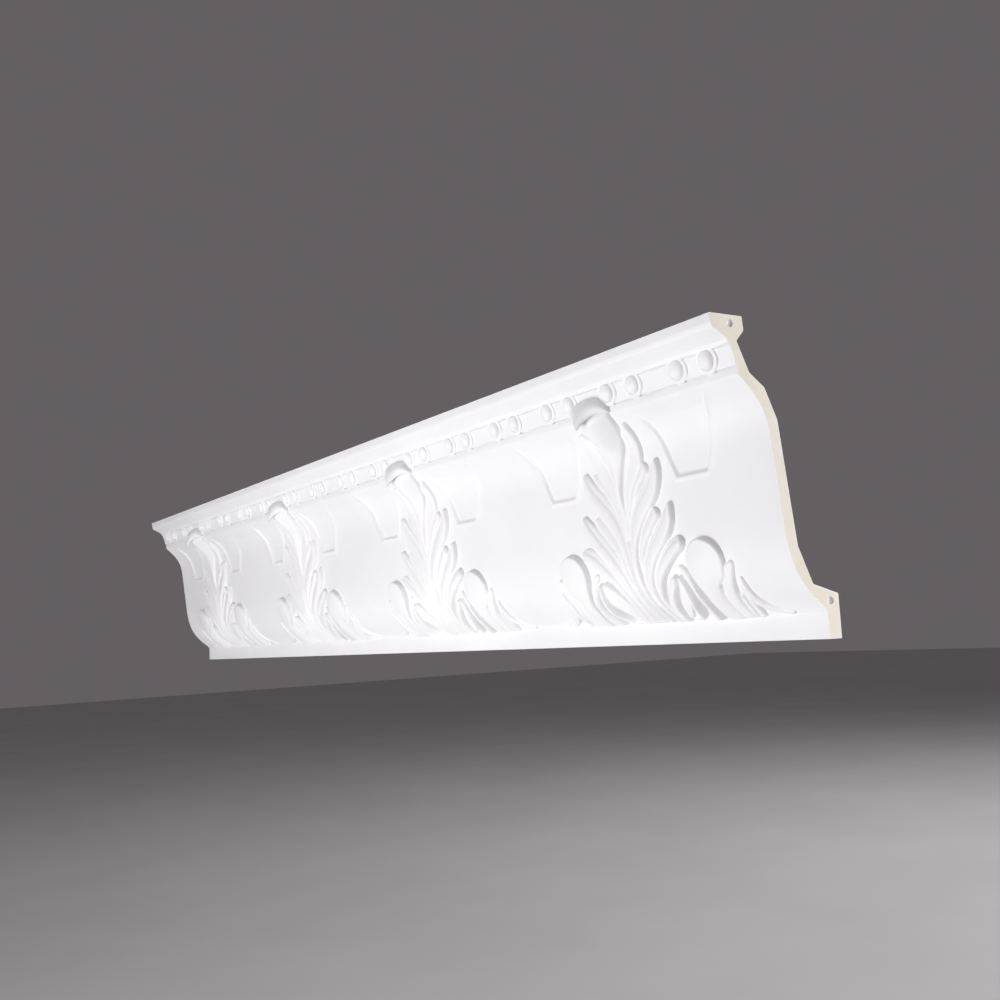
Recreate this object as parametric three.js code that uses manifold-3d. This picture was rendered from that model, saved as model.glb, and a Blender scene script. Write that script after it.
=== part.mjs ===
// Carved cornice length: a thin bent shell that bridges a wall and a ceiling, cast in one piece.
// Millimetres, Z up. X runs along the length, the wall is the plane y = 0 and the room is at -Y.
// The origin is the middle of the flat strip that lies on the wall.
import * as THREE from 'three';
import { mergeVertices } from 'three/addons/utils/BufferGeometryUtils.js';
import Module from 'manifold-3d';

const wasm = await Module();
wasm.setup();

// Driving dimensions
const HEIGHT = 192;
const REACH = 87.4;
const REPEAT = 2000 / 7;
const LEAF_COUNT = 4;
const LENGTH = LEAF_COUNT * REPEAT;

// The shell's profile: distances out from the wall, and heights above the lower edge
const WALL_STRIP_HEIGHT = 27;
const CEILING_STRIP_START = 61.9;
const FOOT_DEPTH = 10.5;
const FOOT_TOP = 15.8;
const SWELL_START = new THREE.Vector2(12.8, 18.7);
const SWELL_HANDLES = [new THREE.Vector2(41, 39.5), new THREE.Vector2(40, 56)];
const SWELL_END = new THREE.Vector2(43.8, 94.2);
const HOLLOW_HANDLES = [new THREE.Vector2(48, 130.5), new THREE.Vector2(44.3, 136)];
const HOLLOW_END = new THREE.Vector2(68.1, 156.6);
const FILLET_TOP = new THREE.Vector2(68.6, 161.6);
const BAND_FOOT = new THREE.Vector2(69.6, 162.2);
const BAND_MIDDLE = new THREE.Vector2(70.9, 168.5);
const BAND_TOP = new THREE.Vector2(73.2, 174.4);
const UPPER_FILLETS = [[74.5, 175.2], [75, 177.4], [80, 180.4], [86, 183.4], [87.1, 186.4]];
const BACK = [
  [CEILING_STRIP_START, HEIGHT], [61.3, 183.4], [67.5, 176.8], [59.2, 158.4], [47.9, 150.1],
  [39.3, 131], [34.2, 85.3], [30.7, 55.6], [20.6, 33], [0, WALL_STRIP_HEIGHT], [0, 0],
];
const CURVE_STEPS = 5;

// Sunk panels, beads and alignment sockets
const PANEL_DEPTH = 1.4;
const PANEL_BOTTOM = 109;
const PANEL_TOP = 155;
const PANEL_HALF_WIDTHS = [[14.4, PANEL_BOTTOM], [19.4, 120], [25.6, 140], [37.4, PANEL_TOP]];
const PANEL_SIDE_STEPS = 3;
const BEAD_RADIUS = 5.3;
const BEAD_HEIGHT_UP = 170;
const BEAD_PAIR_GAP = 27.4;
const BEAD_SIDES = 6;
const BEAD_SUNK = 1;
const SOCKET_RADIUS = 2.5;
const SOCKETS = [new THREE.Vector2(71.7, 187), new THREE.Vector2(6.9, 22.9)];

// The leaf's root, and how far the back and the edges of each carved form are sunk into the shell
const LEAF_ROOT = 15;
const SUNK = 3;
const EDGE_SUNK = 0.8;
const BEHIND = -0.1;

// How a carved form is shaped: how full its section is, the share of its length where it is widest,
// how blunt its tip is and how quickly it opens at its root
const FULLNESS = 0.7;
const WIDEST_FROM = 0.7;
const BLUNTNESS = 7;
const OPENING = 8;

// The middle petal, from its root to its top
const PETAL_ROOT = { up: 84, half: 2, height: 5 };
const PETAL_TOP = { up: 158, half: 16, height: 13 };

// The leaf's curled tip
const TIP_HALF_WIDTH = 17.5;
const TIP_TOP = 171;
const TIP_BOTTOM = 150;
const TIP_MIDDLE = 159;
const TIP_CENTRE_OUT = 67;
const TIP_FRONT = 82.5;

// A point of the moulding, from its place along, out from the wall and up from the lower edge
function place(along, out, up) {
  return new THREE.Vector3(along, -out, up - WALL_STRIP_HEIGHT / 2);
}

// A manifold solid of a closed geometry, its vertices moved by a function if one is given
function solid(geometry, move) {
  geometry.deleteAttribute('normal');
  geometry.deleteAttribute('uv');
  const closed = mergeVertices(geometry, 1e-4);
  const position = closed.attributes.position;
  const point = new THREE.Vector3();
  for (let i = 0; move && i < position.count; i++) {
    const moved = move(point.fromBufferAttribute(position, i));
    position.setXYZ(i, moved.x, moved.y, moved.z);
  }
  const vertProperties = new Float32Array(position.array);
  const triVerts = new Uint32Array(closed.index.array);
  return new wasm.Manifold(new wasm.Mesh({ numProp: 3, vertProperties, triVerts }));
}

function joined(solids) {
  return solids.reduce((whole, next) => whole.add(next));
}

// The front from the lower edge to the ceiling, pushed in by a depth
function frontPath(depth) {
  const path = new THREE.Path();
  const lineTo = ({ x, y }) => path.lineTo(x - depth, y);
  const curveTo = ([first, second], end) => {
    path.bezierCurveTo(first.x - depth, first.y, second.x - depth, second.y, end.x - depth, end.y);
  };
  path.moveTo(FOOT_DEPTH - depth, 0);
  path.lineTo(FOOT_DEPTH - depth, FOOT_TOP);
  lineTo(SWELL_START);
  curveTo(SWELL_HANDLES, SWELL_END);
  curveTo(HOLLOW_HANDLES, HOLLOW_END);
  [FILLET_TOP, BAND_FOOT, BAND_MIDDLE, BAND_TOP].forEach(lineTo);
  UPPER_FILLETS.forEach(([out, up]) => path.lineTo(out - depth, up));
  path.lineTo(REACH - depth, HEIGHT);
  return path.getPoints(CURVE_STEPS);
}

const FRONT = frontPath(0);

// The front's distance from the wall at a height
function surface(up) {
  const next = Math.max(1, FRONT.findIndex((point) => point.y > up));
  const low = FRONT[next - 1];
  const high = FRONT[next];
  const share = THREE.MathUtils.clamp((up - low.y) / (high.y - low.y), 0, 1);
  return THREE.MathUtils.lerp(low.x, high.x, share);
}

// A profile in (out, up) drawn along the whole length
function drawn(points) {
  const geometry = new THREE.ExtrudeGeometry(new THREE.Shape(points), { depth: LENGTH, bevelEnabled: false });
  return solid(geometry, ({ x, y, z }) => place(LENGTH / 2 - z, x, y));
}

function shell() {
  return drawn([...FRONT, ...BACK.map(([out, up]) => new THREE.Vector2(out, up))]);
}

// A panel's outline is an ogee on each side of a short flat bottom
function panelOutline(middle) {
  const side = new THREE.SplineCurve(PANEL_HALF_WIDTHS.map(([half, up]) => new THREE.Vector2(half, up)));
  const right = side.getPoints(PANEL_SIDE_STEPS);
  const left = right.map(({ x, y }) => new THREE.Vector2(-x, y)).reverse();
  return [...left, ...right].map(({ x, y }) => new THREE.Vector2(middle + x, y));
}

// What is taken out of the front to sink one panel on each side of every leaf
function panelCut() {
  const prisms = [];
  for (let i = 0; i < 2 * LEAF_COUNT; i++) {
    const middle = (i + 0.5) * REPEAT / 2 - LENGTH / 2;
    const shape = new THREE.Shape(panelOutline(middle));
    const geometry = new THREE.ExtrudeGeometry(shape, { depth: REACH, bevelEnabled: false });
    prisms.push(solid(geometry, ({ x, y, z }) => place(x, z, y)));
  }
  const behind = drawn([...frontPath(PANEL_DEPTH), new THREE.Vector2(0, HEIGHT), new THREE.Vector2(0, 0)]);
  return joined(prisms).subtract(behind);
}

// A round bead, turned about an axis that stands square on the sloping band
function bead(along) {
  const profile = [
    [0, BEAD_RADIUS], [0.75 * BEAD_RADIUS, 0.65 * BEAD_RADIUS], [BEAD_RADIUS, -BEAD_SUNK], [0, -BEAD_SUNK],
  ].map(([radius, height]) => new THREE.Vector2(radius, height));
  const slope = Math.atan2(BAND_TOP.x - BAND_FOOT.x, BAND_TOP.y - BAND_FOOT.y);
  const geometry = new THREE.LatheGeometry(profile, BEAD_SIDES);
  return solid(geometry, ({ x, y, z }) => {
    const out = y * Math.cos(slope) + z * Math.sin(slope);
    const up = z * Math.cos(slope) - y * Math.sin(slope);
    return place(along + x, surface(BEAD_HEIGHT_UP) + out, BEAD_HEIGHT_UP + up);
  });
}

function beads() {
  const found = [];
  for (let i = 0; i < 4 * LEAF_COUNT; i++) {
    const middle = (i + 0.5) * REPEAT / 4 - LENGTH / 2;
    found.push(bead(middle - BEAD_PAIR_GAP / 2), bead(middle + BEAD_PAIR_GAP / 2));
  }
  return joined(found);
}

// A ball whose vertices go where a function of (share along, turn about) puts them
function moulded(sides, rings, put) {
  return solid(new THREE.SphereGeometry(1, sides, rings), ({ x, y, z }) => {
    const share = Math.acos(THREE.MathUtils.clamp(-y, -1, 1)) / Math.PI;
    return put(share, Math.atan2(z, x));
  });
}

// How far a carved form stands off the shell: sunk behind, thin at its edge and full at its crest
function relief(turn, height) {
  const lift = Math.sin(turn);
  return lift < BEHIND ? -SUNK : height * Math.pow(Math.max(0, lift), FULLNESS) - EDGE_SUNK;
}

// How far along a form a share of its rings is: they crowd towards both ends
function alongForm(share) {
  return (1 - Math.cos(Math.PI * share)) / 2;
}

// One carved lobe of the leaf, on a spine of (along, up) points from its root to its tip.
// Its crest leans towards the outer edge, as each lobe lies over the one inside it.
function lobe({ spine, width, height, root = 0.45, sides = 4, rings = 5, lean = 0.3 }) {
  const curve = new THREE.SplineCurve(spine.map(([along, up]) => new THREE.Vector2(along, up)));
  return (side, middle) => moulded(sides, rings, (share, turn) => {
    const t = alongForm(share);
    const centre = curve.getPoint(t);
    const forward = curve.getTangent(t);
    const swell = THREE.MathUtils.lerp(root, 1, THREE.MathUtils.smoothstep(t, 0, WIDEST_FROM));
    const round = Math.sqrt(Math.max(0, 1 - Math.pow(t, BLUNTNESS))) * Math.min(1, OPENING * t);
    const about = side > 0 ? turn : Math.PI - turn;
    const across = (Math.cos(about) + lean * Math.max(0, Math.sin(turn))) * width * swell * round;
    const along = centre.x + forward.y * across;
    const up = centre.y - forward.x * across;
    return place(middle + side * along, surface(up) + relief(turn, height * swell * round), up);
  });
}

// The lobes on one side of the leaf, from the middle petal down and out to the foot
const LOBES = [
  { spine: [[3.2, 90], [9.2, 112], [18.6, 128], [23.5, 150.5]], width: 7.8, height: 4.6, root: 0.4 },
  { spine: [[4.6, 84], [9.2, 98.3], [16, 109.6], [27.8, 121.5]], width: 4.8, height: 4.4 },
  {
    spine: [[4, LEAF_ROOT], [3, 45], [8, 78], [24.5, 99.5], [39, 124]],
    width: 8.2, height: 5.2, sides: 6, rings: 6,
  },
  { spine: [[8, 48], [12, 66], [20.4, 77.6], [31.5, 90]], width: 5.2, height: 4.6 },
  {
    spine: [[11.5, LEAF_ROOT], [11, 42], [20.8, 60], [35.8, 75.4], [46.5, 94]],
    width: 7.6, height: 5.4, sides: 6, rings: 6,
  },
  {
    spine: [[17, LEAF_ROOT], [17.5, 34], [27, 50.5], [40, 61.5], [52.5, 68.5]],
    width: 6, height: 5.4, rings: 6,
  },
  {
    spine: [[21.5, LEAF_ROOT], [23.5, 28], [30, 37], [39.5, 45.5]],
    width: 4.6, height: 5.6, root: 0.7,
  },
  { spine: [[30, LEAF_ROOT], [41, 23], [45.6, 34], [43, 46]], width: 3.4, height: 7.4, root: 0.8 },
  { spine: [[51.5, LEAF_ROOT], [55, 30], [51, 43], [44.5, 52]], width: 4.4, height: 7, root: 0.8 },
  {
    spine: [[69.2, LEAF_ROOT], [69, 38], [71.4, 68.5]],
    width: 15.8, height: 6.8, root: 0.5, sides: 8, lean: 0,
  },
  { spine: [[80.7, LEAF_ROOT], [84, 36], [93.5, 51]], width: 4.8, height: 4.8, root: 0.8 },
  { spine: [[91.5, LEAF_ROOT], [93.5, 26], [97, 39]], width: 3.2, height: 4, root: 0.8 },
  { spine: [[90, 24], [101, 22.4], [109, 19.6], [117.5, 17.2]], width: 3.4, height: 3.6, root: 0.8 },
].map(lobe);

// The middle petal is a ridge that leans out as it rises
function petal(middle) {
  return moulded(4, 5, (share, turn) => {
    const t = alongForm(share);
    const between = (name) => THREE.MathUtils.lerp(PETAL_ROOT[name], PETAL_TOP[name], t);
    const up = between('up');
    const half = between('half') * Math.min(1, OPENING * t) * Math.min(1, OPENING * (1 - t));
    return place(middle + half * Math.cos(turn), surface(up) + relief(turn, between('height')), up);
  });
}

// The tip of the leaf curls over forwards, and its lip hangs lowest in the middle
function curledTip(middle) {
  return moulded(8, 7, (share, turn) => {
    const along = -TIP_HALF_WIDTH * Math.cos(Math.PI * share);
    const size = Math.sin(Math.PI * share);
    const reach = Math.sin(turn) > 0 ? TIP_TOP - TIP_MIDDLE : TIP_MIDDLE - TIP_BOTTOM;
    const up = TIP_MIDDLE + reach * size * Math.sin(turn);
    const front = TIP_CENTRE_OUT + (TIP_FRONT - TIP_CENTRE_OUT) * size * Math.cos(turn);
    return place(middle + along, Math.cos(turn) > BEHIND ? front : surface(up) - SUNK, up);
  });
}

function leaf(middle) {
  const halves = [1, -1].flatMap((side) => LOBES.map((make) => make(side, middle)));
  return joined([petal(middle), curledTip(middle), ...halves]);
}

function sockets() {
  return joined(SOCKETS.map(({ x, y }) => {
    const centre = place(LENGTH / 2, x, y);
    return solid(new THREE.SphereGeometry(SOCKET_RADIUS, 8, 6), (point) => point.add(centre));
  }));
}

function cornice() {
  let whole = shell().subtract(panelCut()).add(beads());
  for (let i = 0; i < LEAF_COUNT; i++) {
    whole = whole.add(leaf((i + 0.5) * REPEAT - LENGTH / 2));
  }
  return whole.subtract(sockets());
}

function geometryOf(manifold) {
  const mesh = manifold.getMesh();
  const geometry = new THREE.BufferGeometry();
  geometry.setAttribute('position', new THREE.BufferAttribute(new Float32Array(mesh.vertProperties), 3));
  geometry.setIndex(new THREE.BufferAttribute(new Uint32Array(mesh.triVerts), 1));
  return geometry;
}

const primedFoam = new THREE.MeshStandardMaterial({ color: 0xf1f1f3, roughness: 0.7, metalness: 0 });
const length = new THREE.Mesh(geometryOf(cornice()), primedFoam);
length.name = 'cornice_length';

const part = new THREE.Group();
part.add(length);

export default part;
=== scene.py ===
"""Looks of the carved cornice length: its fine relief, its primed and cut surfaces, light and camera."""

import math

import bpy
import numpy as np
from mathutils import Matrix, Vector
from mathutils.geometry import tessellate_polygon


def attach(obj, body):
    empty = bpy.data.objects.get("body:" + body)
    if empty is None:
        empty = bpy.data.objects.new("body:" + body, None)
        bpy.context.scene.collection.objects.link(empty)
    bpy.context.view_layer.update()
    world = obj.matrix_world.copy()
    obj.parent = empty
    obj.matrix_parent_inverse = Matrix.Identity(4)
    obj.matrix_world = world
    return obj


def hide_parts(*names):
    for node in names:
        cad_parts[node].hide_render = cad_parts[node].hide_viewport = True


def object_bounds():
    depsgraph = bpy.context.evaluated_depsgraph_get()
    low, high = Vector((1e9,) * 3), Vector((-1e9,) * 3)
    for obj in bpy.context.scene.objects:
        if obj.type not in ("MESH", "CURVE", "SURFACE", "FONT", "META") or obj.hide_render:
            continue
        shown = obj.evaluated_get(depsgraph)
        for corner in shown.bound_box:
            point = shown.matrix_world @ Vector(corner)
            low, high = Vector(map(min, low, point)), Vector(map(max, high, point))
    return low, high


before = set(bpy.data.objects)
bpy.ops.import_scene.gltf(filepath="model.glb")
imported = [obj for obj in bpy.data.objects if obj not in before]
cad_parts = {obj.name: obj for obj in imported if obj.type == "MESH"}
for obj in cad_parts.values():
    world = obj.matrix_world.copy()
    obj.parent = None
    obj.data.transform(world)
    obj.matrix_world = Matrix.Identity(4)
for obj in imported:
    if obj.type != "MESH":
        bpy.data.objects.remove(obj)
CAD_LOW, CAD_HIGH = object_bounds()
NODE = "cornice_length"
MM = 0.001

# Sizes in millimetres. Heights are measured up from the lower edge, depths out from the wall.
LENGTH = (CAD_HIGH.x - CAD_LOW.x) / MM
HEIGHT = (CAD_HIGH.z - CAD_LOW.z) / MM
REACH = -CAD_LOW.y / MM
LOWER_EDGE = CAD_LOW.z / MM
LEAF_COUNT = 4
REPEAT = LENGTH / LEAF_COUNT
PANELS_PER_LEAF = 2
BEAD_PAIRS_PER_LEAF = 4

# The front profile's corners, and its two curves as (end, handle, handle, end)
FOOT_DEPTH = 10.5
FOOT_TOP = 15.8
SWELL = ((12.8, 18.7), (41.0, 39.5), (40.0, 56.0), (43.8, 94.2))
HOLLOW = ((43.8, 94.2), (48.0, 130.5), (44.3, 136.0), (68.1, 156.6))
CURVE_STEPS = 40
FILLET_TOP = (68.6, 161.4)
BAND_FOOT = (69.6, 162.2)
BAND_MIDDLE = (70.9, 168.5)
BAND_TOP = (73.2, 174.4)
UPPER_FILLETS = ((74.5, 175.2), (75.0, 177.4), (80.0, 180.4), (86.0, 183.4), (87.1, 186.4))
BACK = ((61.9, 192.0), (61.3, 183.4), (67.5, 176.8), (59.2, 158.4), (47.9, 150.1), (39.3, 131.0),
        (34.2, 85.3), (30.7, 55.6), (20.6, 33.0), (0.0, 27.0), (0.0, 0.0))

# The narrow grooves under and over the band: their depth, and how far their sides lean in height
GROOVE_DEPTH = 1.2
GROOVE_LOWER_LEAN = 0.15
GROOVE_UPPER_LEAN = 0.05
UPPER_GROOVE_LEAN = 0.3

# How corners are eased: which turns count as one, the radius, and its limit as a share of the sides
CORNER_TURN = math.radians(12)
CORNER_RADIUS = 0.6
CORNER_SHARE = 0.4

# Sunk panels: half-widths at some heights, the raised lip, and the heights between which both fade out
PANEL_DEPTH = 1.4
PANEL_BOTTOM = 109.0
PANEL_TOP = 155.0
PANEL_HALF_WIDTHS = ((PANEL_BOTTOM, 14.4), (120.0, 19.4), (130.0, 22.6), (140.0, 25.6), (148.0, 30.0),
                     (PANEL_TOP, 37.4))
PANEL_SIDE_POINTS = 60
PANEL_LIP = 0.8
PANEL_FADE = (PANEL_TOP - 9, PANEL_TOP + 0.5)

# Offsets inwards from a panel's edge, and how far the surface stands off the plain cove there
EDGE_OFFSETS = np.array([-3.6, -2.4, -1.4, -0.5, 0.6, 1.8, 2.6])
EDGE_HEIGHTS = np.array([0.0, 0.6 * PANEL_LIP, PANEL_LIP, 0.7 * PANEL_LIP,
                         -0.6 * PANEL_DEPTH, -PANEL_DEPTH, -PANEL_DEPTH])

# The body's extra rows: how far over a panel's lower edge they start, their step, and the least gap
FIRST_ROW = 4
ROW_STEP = 2.0
ROW_GAP = 0.08

# The body's columns: the gap beside a panel's edge, and their numbers outside and inside each edge
COLUMN_MARGIN = 1.4
COLUMNS_BETWEEN = 6
COLUMNS_WITHIN = 5

# Beads and the collars they sit in
BEAD_RADIUS = 6.2
BEAD_RISE = 3.9
BEAD_UP = 170.0
BEAD_PAIR_GAP = 27.4
BEAD_SIDES = 40
BEAD_SHARP_ANGLE = 50
DOME_POINTS = 10
RING_RADIUS = 9.6
RING_PROUD = 1.3
DOME_FOOT = RING_PROUD - 1.0

# A collar's section: its inner edge as (beyond the bead, below the crest), its crest and shoulders as
# (inside the rim, below the crest), and its skirt in the band as (inside the rim, rise off the band)
COLLAR_INNER = (0.7, 0.1)
COLLAR_SHOULDERS = ((2.2, 0.0), (1.2, 0.15), (0.5, 0.5), (0.1, 1.0))
COLLAR_SKIRT = ((0.0, -0.4), (0.8, -3.0))

# Alignment sockets in the near end, as (depth, height), and the primer's skin around the cut
SOCKETS = ((71.7, 187.0), (6.9, 22.9))
SOCKET_RADIUS = 2.5
SOCKET_SIDES = 24
SOCKET_RINGS = 6
SKIN = 0.4

# The body's materials by number
PRIMED = 0
BARE = 1

# The leaf's grid, and how far its back is sunk behind the front
CELL = 0.75
LEAF_HALF_WIDTH = 120.0
LEAF_BOTTOM = 15.6
LEAF_TOP = 165.0
SUNK = 2.4

# The part of the front that the leaf's grid is measured on, and the number of its points
FIELD_BOTTOM = LEAF_BOTTOM - 6
FIELD_TOP = LEAF_TOP + 4
FIELD_POINTS = 1600


def bezier(start, start_handle, end_handle, end, steps):
    """Points along a cubic curve between two ends, drawn by its two handles."""
    t = np.linspace(0, 1, steps + 1)[:, None]
    a, b, c, d = (np.array(p) for p in (start, start_handle, end_handle, end))
    return (1 - t) ** 3 * a + 3 * (1 - t) ** 2 * t * b + 3 * (1 - t) * t ** 2 * c + t ** 3 * d


def spline(points, count, steps=24):
    """Points evenly spread along a Catmull-Rom curve through the given points."""
    given = np.array(points, float)
    padded = np.vstack([2 * given[0] - given[1], given, 2 * given[-1] - given[-2]])
    t = np.linspace(0, 1, steps, endpoint=False)[:, None]
    found = []
    for i in range(len(given) - 1):
        p0, p1, p2, p3 = padded[i:i + 4]
        found.append(0.5 * (2 * p1 + (p2 - p0) * t + (2 * p0 - 5 * p1 + 4 * p2 - p3) * t ** 2
                            + (3 * p1 - p0 - 3 * p2 + p3) * t ** 3))
    path = np.vstack(found + [given[-1:]])
    walked = arc_lengths(path)
    even = np.linspace(0, walked[-1], count)
    return np.column_stack([np.interp(even, walked, path[:, k]) for k in range(path.shape[1])])


def arc_lengths(path):
    """How far along a path each of its points is."""
    steps = np.linalg.norm(np.diff(path, axis=0), axis=1)
    return np.concatenate([[0], np.cumsum(steps)])


def front_profile():
    """The front's (depth, height) points from the lower edge to the top, corners still sharp."""
    swell = bezier(*SWELL, CURVE_STEPS)
    hollow = bezier(*HOLLOW, CURVE_STEPS)[1:]
    foot = [(FOOT_DEPTH, 0.0), (FOOT_DEPTH, FOOT_TOP)]
    groove_floor = FILLET_TOP[0] - GROOVE_DEPTH
    groove = [(groove_floor, FILLET_TOP[1] + GROOVE_LOWER_LEAN),
              (groove_floor, BAND_FOOT[1] - GROOVE_UPPER_LEAN)]
    upper_groove = (BAND_TOP[0] - GROOVE_DEPTH, BAND_TOP[1] + UPPER_GROOVE_LEAN)
    top = [BAND_FOOT, BAND_MIDDLE, BAND_TOP, upper_groove, *UPPER_FILLETS, (REACH, HEIGHT)]
    return np.vstack([foot, swell, hollow, [FILLET_TOP], groove, top])


FRONT = front_profile()


def surface(up):
    """The front's depth at a height."""
    return np.interp(up, FRONT[:, 1], FRONT[:, 0])


# That part in even steps of height, and the length walked along it at each
FIELD_UPS = np.linspace(FIELD_BOTTOM, FIELD_TOP, FIELD_POINTS)
FIELD_PATH = np.column_stack([surface(FIELD_UPS), FIELD_UPS])
FIELD_ARCS = arc_lengths(FIELD_PATH)


def arc_at(up):
    """The length along the front at a height."""
    return np.interp(up, FIELD_UPS, FIELD_ARCS)


def path_at(arcs):
    """The front's (depth, height) points at some lengths along it."""
    return np.column_stack([np.interp(arcs, FIELD_ARCS, FIELD_PATH[:, k]) for k in range(2)])


def normals_at(arcs, reach=3.0):
    """Outward normals of the front, each taken over a short stretch either side."""
    along = path_at(arcs + reach) - path_at(arcs - reach)
    along /= np.linalg.norm(along, axis=1)[:, None]
    return np.column_stack([along[:, 1], -along[:, 0]])


def smoothstep(low, high, value):
    """A soft step from 0 at the low value to 1 at the high one."""
    t = np.clip((value - low) / (high - low), 0, 1)
    return t * t * (3 - 2 * t)


def places_along(per_leaf):
    """Places along the length, each in the middle of its equal share of a repeat."""
    return (np.arange(per_leaf * LEAF_COUNT) + 0.5) * REPEAT / per_leaf - LENGTH / 2


def mesh_object(name, points, faces, materials, face_materials=None, sharp_angle=40):
    """A mesh piece from points in millimetres (along, depth, height), smooth but for its sharp edges."""
    places = np.column_stack([points[:, 0], -points[:, 1], points[:, 2] + LOWER_EDGE]) * MM
    mesh = bpy.data.meshes.new(name)
    mesh.from_pydata(places.tolist(), [], faces)
    for material in materials:
        mesh.materials.append(material)
    if face_materials is not None:
        mesh.polygons.foreach_set("material_index", face_materials)
    mesh.polygons.foreach_set("use_smooth", [True] * len(mesh.polygons))
    mesh.set_sharp_from_angle(angle=math.radians(sharp_angle))
    mesh.update()
    piece = bpy.data.objects.new(name, mesh)
    bpy.context.scene.collection.objects.link(piece)
    return piece


# Materials. Each pair of colours is the darker and the lighter part of a faint mottle.

PRIMER_COLOURS = ((0.83, 0.83, 0.85), (0.88, 0.88, 0.89))
FOAM_COLOURS = ((0.78, 0.745, 0.65), (0.85, 0.82, 0.74))
FLOOR_COLOURS = ((0.60, 0.59, 0.59), (0.64, 0.63, 0.63))
MOTTLE_STOPS = (0.3, 0.7)
NOISE_ROUGHNESS = 0.55


def material(name):
    made = bpy.data.materials.new(name)
    made.use_nodes = True
    tree = made.node_tree
    return made, tree, tree.nodes["Principled BSDF"]


def on_object(tree, texture):
    """Ties a texture to the piece's own coordinates."""
    coordinates = tree.nodes.new("ShaderNodeTexCoord")
    tree.links.new(coordinates.outputs["Object"], texture.inputs["Vector"])


def noise(tree, scale, detail):
    """The value of a noise texture on the piece."""
    texture = tree.nodes.new("ShaderNodeTexNoise")
    texture.inputs["Scale"].default_value = scale
    texture.inputs["Detail"].default_value = detail
    texture.inputs["Roughness"].default_value = NOISE_ROUGHNESS
    on_object(tree, texture)
    return texture.outputs["Fac"]


def mottle(tree, shader, colours, scale, detail):
    """Gives the shader two close colours clouded into each other."""
    cloud = noise(tree, scale, detail)
    ramp = tree.nodes.new("ShaderNodeValToRGB")
    for element, position, colour in zip(ramp.color_ramp.elements, MOTTLE_STOPS, colours):
        element.position = position
        element.color = (*colour, 1)
    tree.links.new(cloud, ramp.inputs["Fac"])
    tree.links.new(ramp.outputs["Color"], shader.inputs["Base Color"])


def spread(tree, source, low, high):
    """A value from 0 to 1 moved into a narrower range."""
    node = tree.nodes.new("ShaderNodeMapRange")
    node.inputs["To Min"].default_value = low
    node.inputs["To Max"].default_value = high
    tree.links.new(source, node.inputs["Value"])
    return node


def bump(tree, source, strength, distance, under=None):
    """A bump of the source, over another one where that is given. The distance is in metres."""
    node = tree.nodes.new("ShaderNodeBump")
    node.inputs["Strength"].default_value = strength
    node.inputs["Distance"].default_value = distance
    tree.links.new(source, node.inputs["Height"])
    if under:
        tree.links.new(under.outputs["Normal"], node.inputs["Normal"])
    return node


def primer_material():
    """White satin primer over moulded foam: faint mottling, a fine orange peel and a little dust grain."""
    made, tree, shader = material("white_primer")
    mottle(tree, shader, PRIMER_COLOURS, scale=9, detail=3)
    sheen = spread(tree, noise(tree, scale=60, detail=3), low=0.42, high=0.56)
    tree.links.new(sheen.outputs["Result"], shader.inputs["Roughness"])
    peel = bump(tree, noise(tree, scale=700, detail=2), strength=0.06, distance=0.0004)
    grain = bump(tree, noise(tree, scale=2600, detail=2), strength=0.05, distance=0.0002, under=peel)
    tree.links.new(grain.outputs["Normal"], shader.inputs["Normal"])
    return made


def foam_material():
    """The cut face: warm cream rigid foam with fine closed cells and a finely uneven cut."""
    made, tree, shader = material("cut_foam")
    mottle(tree, shader, FOAM_COLOURS, scale=45, detail=5)
    shader.inputs["Roughness"].default_value = 0.9
    cells = tree.nodes.new("ShaderNodeTexVoronoi")
    cells.inputs["Scale"].default_value = 1400
    on_object(tree, cells)
    pores = bump(tree, cells.outputs["Distance"], strength=0.35, distance=0.0004)
    cut = bump(tree, noise(tree, scale=260, detail=3), strength=0.25, distance=0.0004, under=pores)
    tree.links.new(cut.outputs["Normal"], shader.inputs["Normal"])
    return made


# The body: a structured sweep whose columns follow the panels' sides


def rounded(path, radius):
    """A profile with each real corner eased by three points."""
    found = [path[0]]
    for before, here, after in zip(path[:-2], path[1:-1], path[2:]):
        back, on = before - here, after - here
        back_length, on_length = np.linalg.norm(back), np.linalg.norm(on)
        turn = math.pi - math.acos(np.clip(np.dot(back, on) / back_length / on_length, -1, 1))
        if turn < CORNER_TURN:
            found.append(here)
            continue
        reach = min(radius, CORNER_SHARE * back_length, CORNER_SHARE * on_length)
        start = here + back / back_length * reach
        end = here + on / on_length * reach
        for t in (0, 0.5, 1):
            found.append((1 - t) ** 2 * start + 2 * (1 - t) * t * here + t ** 2 * end)
    return np.array(found + [path[-1]])


def panel_half_width(up):
    curve = spline(PANEL_HALF_WIDTHS, PANEL_SIDE_POINTS)
    return np.interp(up, curve[:, 0], curve[:, 1])


def panel_relief(across, up):
    """How far the surface stands off the cove, across millimetres from a panel's middle."""
    inside = np.minimum(panel_half_width(up) - np.abs(across), up - PANEL_BOTTOM)
    fade = 1 - smoothstep(*PANEL_FADE, up)
    return np.interp(inside, EDGE_OFFSETS, EDGE_HEIGHTS) * fade


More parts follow.
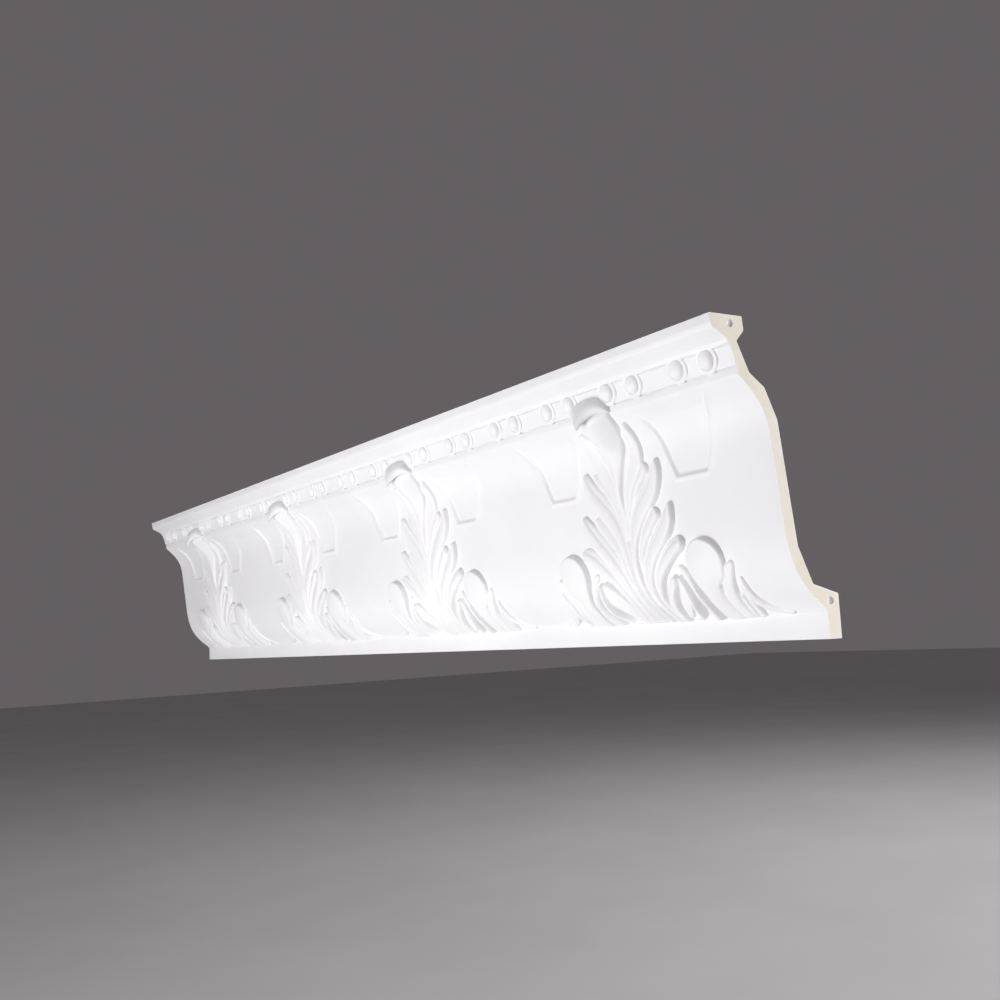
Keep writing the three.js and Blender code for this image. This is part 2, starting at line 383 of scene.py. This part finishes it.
def body_rows():
    """The closed profile's points: the front, with extra rows over the panels, then the back."""
    front = rounded(FRONT, CORNER_RADIUS)
    over_panels = np.arange(PANEL_BOTTOM + FIRST_ROW, PANEL_TOP + ROW_STEP, ROW_STEP)
    extra = np.concatenate([PANEL_BOTTOM + EDGE_OFFSETS, over_panels])
    added = np.column_stack([np.interp(extra, front[:, 1], front[:, 0]), extra])
    front = np.vstack([front, added])
    front = front[np.argsort(front[:, 1], kind="stable")]
    keep = np.concatenate([[True], np.linalg.norm(np.diff(front, axis=0), axis=1) > ROW_GAP])
    front = front[keep]
    back = rounded(np.array([front[-1], *BACK, front[0]]), CORNER_RADIUS)[1:-1]
    return front, back


def body_columns(up):
    """Where the columns stand at one height: they close in on each panel's sides."""
    half = float(panel_half_width(np.clip(up, PANEL_BOTTOM, PANEL_TOP)))
    pitch = REPEAT / PANELS_PER_LEAF
    outer_end = -half - EDGE_OFFSETS[-1] - COLUMN_MARGIN
    between = np.linspace(-pitch / 2, outer_end, COLUMNS_BETWEEN + 1)[:-1]
    within = np.linspace(-half + EDGE_OFFSETS[-1], 0, COLUMNS_WITHIN + 1)[1:]
    left = np.concatenate([between, -half + EDGE_OFFSETS, within])
    one = np.concatenate([left, -left[-2::-1]])
    middles = places_along(PANELS_PER_LEAF)
    columns = np.concatenate([middle + one[:-1] for middle in middles])
    return np.concatenate([columns, [LENGTH / 2]]), middles


def build_body(primer, foam):
    """The moulding without its beads and leaves: front, panels, back and both cut ends."""
    front, back = body_rows()
    tangent = np.gradient(front, arc_lengths(front), axis=0)
    normals = np.column_stack([tangent[:, 1], -tangent[:, 0]])
    normals /= np.linalg.norm(normals, axis=1)[:, None]
    rows = []
    for (out, up), normal in zip(front, normals):
        columns, middles = body_columns(up)
        across = columns[:, None] - middles[None, :]
        across = across[np.arange(len(columns)), np.argmin(np.abs(across), axis=1)]
        relief = panel_relief(across, up)
        rows.append(np.column_stack([columns, out + normal[0] * relief, up + normal[1] * relief]))
    straight = body_columns(0.0)[0]
    for out, up in back:
        rows.append(np.column_stack([straight, np.full(len(straight), out), np.full(len(straight), up)]))
    count, width = len(rows), len(straight)
    faces, kinds = [], []
    for row in range(count):
        low, high = row * width, (row + 1) % count * width
        for i in range(width - 1):
            faces.append((low + i, low + i + 1, high + i + 1, high + i))
            kinds.append(BARE if row >= len(front) else PRIMED)
    points, faces, kinds = close_ends(np.vstack(rows), faces, kinds, count, width)
    return mesh_object("cornice_body", points, faces, [primer, foam], kinds)


def close_ends(points, faces, kinds, count, width):
    """Both cut ends: a thin skin of primer around bare foam, and two round sockets in the near one."""
    for column, near in ((0, False), (width - 1, True)):
        rim = [row * width + column for row in range(count)]
        outline = points[rim][:, 1:]
        ahead, behind = np.roll(outline, -1, axis=0), np.roll(outline, 1, axis=0)
        run = (ahead - behind) / np.linalg.norm(ahead - behind, axis=1)[:, None]
        inward = outline + SKIN * np.column_stack([-run[:, 1], run[:, 0]])
        end = points[column, 0]
        start = len(points)
        points = np.vstack([points, np.column_stack([np.full(count, end), inward])])
        inner = list(range(start, start + count))
        for i in range(count):
            j = (i + 1) % count
            quad = (rim[i], rim[j], inner[j], inner[i])
            faces.append(quad[::-1] if near else quad)
            kinds.append(PRIMED)
        loops = [inner]
        if near:
            points, socket_faces, mouths = sockets(points, end)
            faces += socket_faces
            kinds += [PRIMED] * len(socket_faces)
            loops += mouths
        order = [index for loop in loops for index in loop]
        flat = [[Vector((*points[i, 1:], 0)) for i in loop] for loop in loops]
        for triangle in tessellate_polygon(flat):
            a, b, c = (order[i] for i in triangle)
            first, second = points[b, 1:] - points[a, 1:], points[c, 1:] - points[a, 1:]
            turned = first[0] * second[1] - first[1] * second[0] > 0
            faces.append((a, c, b) if turned == near else (a, b, c))
            kinds.append(BARE)
    return points, faces, kinds


def sockets(points, end):
    """Two round dimples: their points, their faces and the loops of their mouths."""
    faces, mouths = [], []
    turn = np.arange(SOCKET_SIDES) * 2 * math.pi / SOCKET_SIDES
    for out, up in SOCKETS:
        start = len(points)
        for ring in range(SOCKET_RINGS):
            tilt = ring / SOCKET_RINGS * math.pi / 2
            radius = SOCKET_RADIUS * math.cos(tilt)
            circle = np.column_stack([np.full(SOCKET_SIDES, end - SOCKET_RADIUS * math.sin(tilt)),
                                      out + radius * np.cos(turn), up + radius * np.sin(turn)])
            points = np.vstack([points, circle])
        points = np.vstack([points, [[end - SOCKET_RADIUS, out, up]]])
        for ring in range(SOCKET_RINGS):
            low = start + ring * SOCKET_SIDES
            for i in range(SOCKET_SIDES):
                j = (i + 1) % SOCKET_SIDES
                if ring == SOCKET_RINGS - 1:
                    faces.append((low + j, low + i, start + SOCKET_RINGS * SOCKET_SIDES))
                else:
                    faces.append((low + j, low + i, low + SOCKET_SIDES + i, low + SOCKET_SIDES + j))
        mouths.append([start + i for i in range(SOCKET_SIDES)])
    return points, faces, mouths


# Beads, each turned with the collar around it


def bead_profile():
    """A bead's and its collar's (radius, rise) points, from the dome's top to the collar's foot."""
    turns = np.linspace(0, math.pi / 2, DOME_POINTS)
    dome = [(BEAD_RADIUS * math.sin(turn), DOME_FOOT + BEAD_RISE * math.cos(turn)) for turn in turns]
    inner = (BEAD_RADIUS + COLLAR_INNER[0], RING_PROUD - COLLAR_INNER[1])
    shoulders = [(RING_RADIUS - inside, RING_PROUD - below) for inside, below in COLLAR_SHOULDERS]
    skirt = [(RING_RADIUS - inside, rise) for inside, rise in COLLAR_SKIRT]
    return dome + [inner] + shoulders + skirt


def turned_bead(along, profile, first):
    """One bead with its collar: points with top and bottom last, and faces numbered on from first."""
    slope = math.atan2(BAND_TOP[0] - BAND_FOOT[0], BAND_TOP[1] - BAND_FOOT[1])
    band = surface(BEAD_UP)
    points, faces = [], []
    for radius, rise in profile[1:]:
        for i in range(BEAD_SIDES):
            turn = 2 * math.pi * i / BEAD_SIDES
            flat = radius * math.sin(turn)
            out = rise * math.cos(slope) + flat * math.sin(slope)
            up = flat * math.cos(slope) - rise * math.sin(slope)
            points.append((along + radius * math.cos(turn), band + out, BEAD_UP + up))
    for rise in (profile[0][1], profile[-1][1]):
        points.append((along, band + rise * math.cos(slope), BEAD_UP - rise * math.sin(slope)))
    rings = len(profile) - 1
    last_ring = first + (rings - 1) * BEAD_SIDES
    top, bottom = last_ring + BEAD_SIDES, last_ring + BEAD_SIDES + 1
    for i in range(BEAD_SIDES):
        j = (i + 1) % BEAD_SIDES
        faces.append((top, first + i, first + j))
        faces.append((bottom, last_ring + j, last_ring + i))
        for ring in range(rings - 1):
            low = first + ring * BEAD_SIDES
            faces.append((low + i, low + BEAD_SIDES + i, low + BEAD_SIDES + j, low + j))
    return points, faces


def build_beads(primer):
    profile = bead_profile()
    points, faces = [], []
    for middle in places_along(BEAD_PAIRS_PER_LEAF):
        for along in (middle - BEAD_PAIR_GAP / 2, middle + BEAD_PAIR_GAP / 2):
            bead_points, bead_faces = turned_bead(along, profile, len(points))
            points += bead_points
            faces += bead_faces
    return mesh_object("bead_band", np.array(points), faces, [primer], sharp_angle=BEAD_SHARP_ANGLE)


# The leaf, as a carved field over the front

# Each lobe has a spine of (across, up, half-width) points and the height of its crest. root, inner, outer
# and tip are the heights at its start, inner side, outer side and end, as shares of that. crest is the
# crest's place, from -1 at the inner side to 1 at the outer one, groove is the depth of a vein as a share,
# and blunt leaves the end unrounded. The lobes come from the petal down and outwards.
LOBES = (
    dict(spine=((1.6, 74, 2.0), (2.0, 84, 2.6), (3.2, 93, 3.2), (6, 104, 5.2), (9.2, 112, 6.6),
                (14, 120, 8.0), (18.6, 128, 8.0), (20.8, 136, 6.6), (21.6, 143, 5.6), (24.6, 149.6, 1.7)),
         height=3.4, inner=0.75, groove=0.5),
    dict(spine=((4.6, 87, 1.8), (9.2, 98.3, 3.8), (16, 109.6, 4.5), (22, 115.3, 4.7), (25.2, 118.5, 4.4),
                (27.2, 120.4, 2.4)),
         height=3.3),
    dict(spine=((4.2, 15, 2.9), (3.2, 30, 3.3), (2.8, 45, 3.2), (3.6, 57, 3.8), (5.4, 70, 5.0),
                (9.8, 82, 7.0), (17, 92.5, 8.2), (24.5, 99.5, 8.4), (30.8, 105.8, 7.8), (35.6, 112.6, 6.0),
                (38, 118.6, 4.0), (39.4, 123.4, 1.6)),
         height=4.2, groove=0.35),
    dict(spine=((8, 46, 1.4), (9.9, 58, 2.6), (13.8, 68.3, 3.9), (20.4, 77.6, 5.0), (26.6, 84, 5.0),
                (30, 87.4, 4.8), (31.8, 89.2, 2.6)),
         height=3.6),
    dict(spine=((12.2, 15, 3.4), (9.8, 30, 3.9), (11, 42, 5.2), (14.8, 51.5, 6.0), (20.8, 60, 6.6),
                (27.8, 67.8, 7.1), (35.8, 75.4, 7.4), (41.8, 82.4, 6.4), (45, 88.4, 4.0), (47, 93.6, 1.5)),
         height=4.4, groove=0.35),
    dict(spine=((17.6, 15, 2.6), (16.5, 30, 3.3), (19, 39, 4.2), (24.6, 48, 5.1), (33.5, 56.3, 5.8),
                (42.8, 63.2, 5.9), (49.4, 66.3, 5.4), (52, 67.6, 3.2)),
         height=4.4, groove=0.35),
    dict(spine=((21.5, 15, 2.0), (21.8, 24.4, 3.2), (25, 31, 4.0), (29.6, 36.6, 4.3), (35, 41.5, 4.0),
                (39, 45, 2.2)),
         height=4.6, inner=0.7, outer=0.5),
    dict(spine=((26, 19, 2.0), (32, 26, 4.4), (39, 33, 5.0), (43, 39, 4.4), (44, 45, 3.0)),
         height=2.2, inner=0.9, outer=0.9),
    dict(spine=((28, 15, 1.8), (36, 18.4, 2.6), (42.3, 24.5, 3.1), (45.4, 32, 3.1), (45.4, 39, 2.6),
                (43.2, 45.5, 1.4)),
         height=6.8, root=0.3, inner=0.45, crest=0.1, tip=0.7),
    dict(spine=((51.5, 15, 4.4), (54.4, 22, 4.0), (55, 30, 3.6), (53.4, 38, 3.5), (49.8, 46, 3.5),
                (44.6, 51.5, 2.0)),
         height=6.2, inner=0.5, tip=0.35),
    dict(spine=((69.2, 15, 7.8), (69.2, 25, 7.8), (69, 36, 8.4), (69.4, 44, 11.5), (71.4, 52.2, 16.4)),
         height=5.4, inner=0.78, outer=0.5, crest=-0.3, blunt=True),
    dict(spine=((79.8, 15, 4.8), (80.6, 26, 5.5), (83.6, 35.9, 5.2), (88.5, 44.8, 4.2), (91.6, 48.6, 2.8),
                (93.2, 50.4, 1.6)),
         height=3.2, inner=0.9, outer=0.6, tip=0.5),
    dict(spine=((86, 15, 1.8), (87.6, 24, 2.2), (89.2, 31, 1.4)),
         height=2.6),
    dict(spine=((91.5, 15, 2.4), (93.3, 24, 2.9), (95.2, 32, 2.8), (96.8, 38.5, 1.6)),
         height=2.9, inner=0.8, tip=0.5),
    dict(spine=((96.2, 40, 1.4), (95.8, 33, 2.6), (97, 27, 3.2), (101, 22.6, 3.2), (107, 19.8, 3.0),
                (113, 18.2, 2.7), (117.3, 17.4, 1.9)),
         height=2.4, inner=0.8, outer=0.6, tip=0.7, blunt=True),
)
SPINE_POINTS = 110

# How fast the field falls outside a lobe, and how wide a lobe's outer and inner flanks are
EDGE_SLOPE = 1.3
FLANK = 2.1
INNER_FLANK = 1.1

# A vein's place and width across its lobe, and its depth where groove is 1, all as shares
VEIN_PLACE = -0.42
VEIN_WIDTH = 0.16
VEIN_DEPTH = 0.4

# The shares of a lobe's length by which it has risen from its root, and from which it sinks to its tip
RISEN = 0.6
SINKING = 0.5

# The least length over which a lobe's end is rounded, and the least half-width that one is measured by
LEAST_ROUNDING = 1.0
LEAST_HALF = 0.001


def lobe_section(place, half, crest, inner, outer, groove):
    """A lobe's height across it as a share: a long inner slope, a full crest and a steep outer flank."""
    climb = np.clip((place + 1) / (crest + 1), 0, 1)
    fall = np.clip((place - crest) / (1 - crest), 0, 1)
    inner_slope = inner + (1 - inner) * np.sin(climb * math.pi / 2)
    share = np.where(place < crest, inner_slope, 1 - (1 - outer) * fall ** 2)
    share = share - groove * VEIN_DEPTH * np.exp(-((place - VEIN_PLACE) / VEIN_WIDTH) ** 2)
    flank = np.where(place < 0, INNER_FLANK, FLANK)
    inwards = np.clip((1 - np.abs(place)) * half / flank, 0, 1)
    return share * np.sqrt(1 - (1 - inwards) ** 2)


def lobe_field(across, arcs, spine, height, root=0.85, crest=0.35, inner=0.3, outer=0.8, groove=0.0,
               tip=1.0, blunt=False):
    """One lobe's height over the grid, falling below zero outside its outline."""
    points = np.array(spine, float)
    points[:, 1] = arc_at(points[:, 1])
    path = spline(points, SPINE_POINTS)
    centre, halves = path[:, :2], path[:, 2]
    walked = arc_lengths(centre)
    if not blunt:
        left = np.clip((walked[-1] - walked) / max(halves[-1], LEAST_ROUNDING), 0, 1)
        halves = halves * np.sqrt(1 - (1 - left) ** 2)
    share = walked / walked[-1]
    risen = root + (1 - root) * smoothstep(0, RISEN, share)
    rise = height * risen * (1 - (1 - tip) * smoothstep(SINKING, 1, share))
    tangent = np.gradient(centre, axis=0)
    tangent /= np.linalg.norm(tangent, axis=1)[:, None]
    gap = np.stack([across[..., None] - centre[:, 0], arcs[..., None] - centre[:, 1]], axis=-1)
    distance = np.linalg.norm(gap, axis=-1)
    nearest = np.argmin(distance - halves, axis=-1)
    pick = np.take_along_axis(gap, nearest[..., None, None], axis=-2)[..., 0, :]
    on = tangent[nearest]
    side = pick[..., 0] * on[..., 1] - pick[..., 1] * on[..., 0]
    reach = np.linalg.norm(pick, axis=-1)
    half = np.maximum(halves[nearest], LEAST_HALF)
    outside = reach - half
    place = np.clip(side / half, -1, 1)
    rim = np.clip(reach / half, 0, 1)
    section = lobe_section(place, half, crest, inner, outer, groove)
    flank = np.where(place < 0, INNER_FLANK, FLANK)
    capped = np.sqrt(1 - (1 - np.clip((1 - rim) * half / flank, 0, 1)) ** 2)
    field = rise[nearest] * np.minimum(section, capped)
    return np.where(outside > 0, -EDGE_SLOPE * outside, field)


# The middle petal at some heights: its half-width, and its heights on the axis and at its sides
PETAL_UPS = (78, 100, 110, 121, 127, 132, 136, 143, 148, 156, 162)
PETAL_HALVES = (0.3, 1.6, 3.6, 6.8, 9.2, 11.6, 13.0, 15.6, 17.2, 18.2, 18.0)
PETAL_CRESTS = (2.2, 5.0, 6.2, 7.0, 7.5, 8.0, 8.5, 9.8, 10.6, 10.2, 6.0)
PETAL_SIDES = (2.0, 3.4, 3.8, 4.0, 3.9, 3.7, 3.4, 2.8, 2.3, 1.8, 1.0)
PETAL_FLANK = 1.3
PETAL_EDGE_SLOPE = 3.0
RIDGE_ROUND = 0.55

# How far down the field is put below the petal's root, which leaves no petal there
NO_PETAL = 40


def petal_field(across, ups):
    """The middle petal: a rounded ridge on the axis that stands further out as it rises."""
    half = np.interp(ups, PETAL_UPS, PETAL_HALVES)
    crest = np.interp(ups, PETAL_UPS, PETAL_CRESTS)
    sides = np.interp(ups, PETAL_UPS, PETAL_SIDES)
    share = np.clip(np.abs(across) / half, 0, 1)
    slope = (np.hypot(share, RIDGE_ROUND) - RIDGE_ROUND) / (np.hypot(1, RIDGE_ROUND) - RIDGE_ROUND)
    inwards = np.clip((1 - share) * half / PETAL_FLANK, 0, 1)
    roof = (crest + (sides - crest) * slope) * np.sqrt(1 - (1 - inwards) ** 2)
    outside = np.abs(across) - half
    return np.where(outside > 0, -PETAL_EDGE_SLOPE * outside, roof) - NO_PETAL * (ups < PETAL_UPS[0])


# The curled tip over the petal, in sections across the leaf
HOOD_SECTIONS = 44
HOOD_HALF_WIDTH = 20.0
HOOD_SPREAD = 0.995
HOOD_END_HEIGHT = 157.0
HOOD_TOP = 171.0
HOOD_LIP = 146.0
HOOD_END_DEPTH = 69.0
HOOD_FRONT = 83.5
HOOD_LIP_DEPTH = 84.6
HOOD_SUNK = 2.0

# The powers by which the lip's drop, the front and the lip's depth grow towards the middle
LIP_DROP_POWER = 3
FRONT_POWER = 0.7
LIP_DEPTH_POWER = 0.85

# The outer curve, from the back over the top to the lip: how far under the top it starts, one handle as
# (share of the way from back to front, above the top), the other as (ahead of the front, share of the way
# from lip to top)
OUTER_STEPS = 16
BACK_UNDER_TOP = 0.6
TOP_HANDLE = (0.42, 0.2)
FRONT_HANDLE = (0.6, 0.6)

# The inner curve, from the tuck behind the lip to the end of the underside: each end as (behind, above) the
# lip, the tuck's handle as (behind, above) the tuck, and the other one's distance ahead of its end. These
# and the millimetres of the outer curve shrink towards the two ends of the tip.
INNER_STEPS = 5
TUCK = (1.6, 0.5)
UNDERSIDE = (8.5, 6.0)
TUCK_HANDLE = (2.0, 3.0)
UNDERSIDE_HANDLE = 2.0


def hood_section(across):
    """The closed outline of the curled tip at one place, as (depth, height) points."""
    inwards = 1 - abs(across) / HOOD_HALF_WIDTH
    swing = math.sqrt(max(1 - (1 - inwards) ** 2, 0.0))
    drop = inwards ** LIP_DROP_POWER
    top = HOOD_END_HEIGHT + (HOOD_TOP - HOOD_END_HEIGHT) * swing
    lip = HOOD_END_HEIGHT - (HOOD_END_HEIGHT - HOOD_LIP) * drop
    front = HOOD_END_DEPTH + (HOOD_FRONT - HOOD_END_DEPTH) * swing ** FRONT_POWER
    lip_out = HOOD_END_DEPTH + (HOOD_LIP_DEPTH - HOOD_END_DEPTH) * inwards ** LIP_DEPTH_POWER
    back = float(surface(top)) - HOOD_SUNK
    top_handle = (back + TOP_HANDLE[0] * (front - back), top + TOP_HANDLE[1] * swing)
    front_handle = (front + FRONT_HANDLE[0] * swing, lip + FRONT_HANDLE[1] * (top - lip))
    start = (back, top - BACK_UNDER_TOP * swing)
    outer = bezier(start, top_handle, front_handle, (lip_out, lip), OUTER_STEPS)
    tuck = (lip_out - TUCK[0] * swing, lip + TUCK[1] * swing)
    under = (lip_out - UNDERSIDE[0] * swing, lip + UNDERSIDE[1] * swing)
    tuck_handle = (tuck[0] - TUCK_HANDLE[0] * swing, tuck[1] + TUCK_HANDLE[1] * swing)
    under_handle = (under[0] + UNDERSIDE_HANDLE * swing, under[1])
    inner = bezier(tuck, tuck_handle, under_handle, under, INNER_STEPS)
    foot = (float(surface(under[1])) - HOOD_SUNK, under[1])
    return np.vstack([outer, inner, [foot]])


def hood():
    """The curled tip: a closed visor whose lip hangs lowest in the middle."""
    turns = np.linspace(-1, 1, HOOD_SECTIONS) * math.pi / 2
    rows = []
    for across in HOOD_HALF_WIDTH * HOOD_SPREAD * np.sin(turns):
        section = hood_section(across)
        rows.append(np.column_stack([np.full(len(section), across), section]))
    width = len(rows[0])
    faces = []
    for row in range(HOOD_SECTIONS - 1):
        low, high = row * width, (row + 1) * width
        for i in range(width):
            j = (i + 1) % width
            faces.append((low + i, low + j, high + j, high + i))
    faces.append(tuple(range(width))[::-1])
    faces.append(tuple((HOOD_SECTIONS - 1) * width + i for i in range(width)))
    return np.vstack(rows), faces


# The sheet is kept where the field is above this, so that its edge is sunk in the front
LEAF_CUT = -1.1

# At the foot strip the leaf starts at a share of its height, and gains the rest over a short way
FOOT_SHARE = 0.7
FOOT_GAIN = 0.3
FOOT_FADE = 1.6

# The blur's weights for a point and for each of its four neighbours
SOFT_CENTRE = 0.6
SOFT_NEIGHBOUR = 0.1


def leaf_mesh():
    """Points and faces of one leaf about its axis, without the curled tip: a closed sheet of carving."""
    across = np.arange(-LEAF_HALF_WIDTH, LEAF_HALF_WIDTH + CELL / 2, CELL)
    arcs = np.arange(arc_at(LEAF_BOTTOM), arc_at(LEAF_TOP), CELL)
    grid_across, grid_arcs = np.meshgrid(across, arcs)
    right = grid_across[:, len(across) // 2:]
    half_arcs = grid_arcs[:, len(across) // 2:]
    path = path_at(arcs)
    ups = np.repeat(path[:, 1:], right.shape[1], axis=1)
    field = petal_field(right, ups)
    for lobe in LOBES:
        field = np.maximum(field, lobe_field(right, half_arcs, **lobe))
    field = soften(np.hstack([field[:, :0:-1], field]))
    fade = smoothstep(0, FOOT_FADE, arcs - arcs[0])[:, None]
    field = np.where(field > 0, field * (FOOT_SHARE + FOOT_GAIN * fade), field)
    normals = normals_at(arcs)
    front = raised(grid_across, path, normals, field)
    behind = raised(grid_across, path, normals, np.full_like(field, -SUNK))
    return closed_sheet(front, behind, corner_mask(field > LEAF_CUT))


def soften(field):
    """A light blur that takes the hardness off creases, as primer does."""
    wide = np.pad(field, 1, mode="edge")
    ring = wide[:-2, 1:-1] + wide[2:, 1:-1] + wide[1:-1, :-2] + wide[1:-1, 2:]
    return SOFT_CENTRE * field + SOFT_NEIGHBOUR * ring


def raised(across, path, normals, height):
    """The grid's points, each standing off the front by its height."""
    return np.stack([across, path[:, :1] + normals[:, :1] * height, path[:, 1:] + normals[:, 1:] * height],
                    axis=-1)


def corner_mask(inside, rounds=6):
    """The cells with a corner inside, with cells that only touch at a corner filled in."""
    cells = inside[:-1, :-1] | inside[1:, :-1] | inside[:-1, 1:] | inside[1:, 1:]
    for _ in range(rounds):
        here, right = cells[:-1, :-1], cells[:-1, 1:]
        above, beyond = cells[1:, :-1], cells[1:, 1:]
        pinched = (here & beyond & ~right & ~above) | (right & above & ~here & ~beyond)
        if not pinched.any():
            break
        for row, column in zip(*np.nonzero(pinched)):
            cells[row:row + 2, column:column + 2] = True
    return cells


def closed_sheet(front, behind, cells):
    """A solid sheet over the kept cells: a front, a back and walls between them."""
    rows, columns = cells.shape
    used = np.zeros((rows + 1, columns + 1), bool)
    used[:-1, :-1] |= cells
    used[1:, :-1] |= cells
    used[:-1, 1:] |= cells
    used[1:, 1:] |= cells
    number = np.cumsum(used.ravel()).reshape(used.shape) - 1
    count = int(used.sum())
    points = np.vstack([front[used], behind[used]])
    row, column = np.nonzero(cells)
    low_left, low_right = number[row, column], number[row, column + 1]
    high_left, high_right = number[row + 1, column], number[row + 1, column + 1]
    faces = np.column_stack([low_left, low_right, high_right, high_left]).tolist()
    faces += (np.column_stack([low_left, high_left, high_right, low_right]) + count).tolist()
    wide = np.pad(cells, 1)
    below, above = ~wide[:-2, 1:-1][row, column], ~wide[2:, 1:-1][row, column]
    before, after = ~wide[1:-1, :-2][row, column], ~wide[1:-1, 2:][row, column]
    walls = ((below, low_right, low_left), (above, high_left, high_right),
             (before, low_left, high_left), (after, high_right, low_right))
    for edge, start, end in walls:
        first, second = start[edge], end[edge]
        faces += np.column_stack([first, second, second + count, first + count]).tolist()
    return points, faces


def build_leaves(primer):
    """The leaf with its curled tip, once in the middle of each repeat."""
    points, faces = leaf_mesh()
    hood_points, hood_faces = hood()
    start = len(points)
    faces = faces + [tuple(start + i for i in face) for face in hood_faces]
    points = np.vstack([points, hood_points])
    made = []
    for i, middle in enumerate(places_along(1)):
        moved = points + np.array([middle, 0, 0])
        made.append(mesh_object(f"acanthus_leaf_{i + 1}", moved, faces, [primer], sharp_angle=180))
    return made


# Stage, light and camera, in metres

FLOOR_REACH = 14.0
FLOOR_HEIGHT = -0.55
AMBIENT = (0.128, 0.114, 0.121)


def floor_material():
    made, tree, shader = material("pale_floor")
    mottle(tree, shader, FLOOR_COLOURS, scale=2.5, detail=3)
    shader.inputs["Roughness"].default_value = 0.8
    return made


def build_floor():
    mesh = bpy.data.meshes.new("floor")
    sides = ((-1, -1), (1, -1), (1, 1), (-1, 1))
    corners = [(along * FLOOR_REACH, deep * FLOOR_REACH, FLOOR_HEIGHT) for along, deep in sides]
    mesh.from_pydata(corners, [], [(0, 1, 2, 3)])
    mesh.materials.append(floor_material())
    floor = bpy.data.objects.new("floor", mesh)
    bpy.context.scene.collection.objects.link(floor)


def area_light(name, place, aim, size, watts, colour):
    light = bpy.data.lights.new(name, "AREA")
    light.shape = "DISK"
    light.size = size
    light.energy = watts
    light.color = colour
    lamp = bpy.data.objects.new(name, light)
    lamp.location = place
    lamp.rotation_euler = (Vector(aim) - Vector(place)).to_track_quat("-Z", "Y").to_euler()
    bpy.context.scene.collection.objects.link(lamp)


def build_light():
    world = bpy.data.worlds.new("studio")
    world.use_nodes = True
    world.node_tree.nodes["Background"].inputs["Color"].default_value = (*AMBIENT, 1)
    bpy.context.scene.world = world
    bpy.context.scene.view_settings.view_transform = "Standard"
    area_light("key", place=(0.4, -2.4, -0.45), aim=(0.1, 0, 0.08), size=1.0, watts=29,
               colour=(1.0, 0.995, 0.99))
    area_light("under", place=(0.15, -0.85, -0.52), aim=(0.08, 0, 0.1), size=0.9, watts=12.4,
               colour=(1.0, 1.0, 1.0))
    area_light("end", place=(1.5, 0.5, 0.05), aim=(0.57, 0.05, 0.06), size=0.5, watts=10.2,
               colour=(1.0, 0.985, 0.96))
    area_light("overhead", place=(0.0, 2.6, 2.4), aim=(0, 0.6, -0.5), size=2.0, watts=70,
               colour=(0.98, 0.99, 1.0))


CAMERA_PLACE = (1.07046, -0.55302, -0.0003)
CAMERA_AZIMUTH = math.radians(57.68)
CAMERA_ELEVATION = math.radians(-6.46)
CAMERA_ROLL = math.radians(-3.09)
CAMERA_LENS = 42.67
CAMERA_SENSOR = 36
CAMERA_NEAREST = 0.02


def build_camera():
    data = bpy.data.cameras.new("camera")
    data.lens = CAMERA_LENS
    data.sensor_width = CAMERA_SENSOR
    data.clip_start = CAMERA_NEAREST
    level = math.cos(CAMERA_ELEVATION)
    back = Vector((math.sin(CAMERA_AZIMUTH) * level, -math.cos(CAMERA_AZIMUTH) * level,
                   math.sin(CAMERA_ELEVATION)))
    right = Vector((math.cos(CAMERA_AZIMUTH), math.sin(CAMERA_AZIMUTH), 0))
    up = back.cross(right)
    rolled_right = right * math.cos(CAMERA_ROLL) + up * math.sin(CAMERA_ROLL)
    rolled_up = up * math.cos(CAMERA_ROLL) - right * math.sin(CAMERA_ROLL)
    turned = Matrix((rolled_right, rolled_up, back)).transposed().to_4x4()
    turned.translation = Vector(CAMERA_PLACE)
    camera = bpy.data.objects.new("camera", data)
    camera.matrix_world = turned
    bpy.context.scene.collection.objects.link(camera)
    bpy.context.scene.camera = camera


def main():
    primer = primer_material()
    foam = foam_material()
    pieces = [build_body(primer, foam), build_beads(primer), *build_leaves(primer)]
    for piece in pieces:
        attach(piece, "root")
        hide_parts(NODE)
    build_floor()
    build_light()
    build_camera()


main()
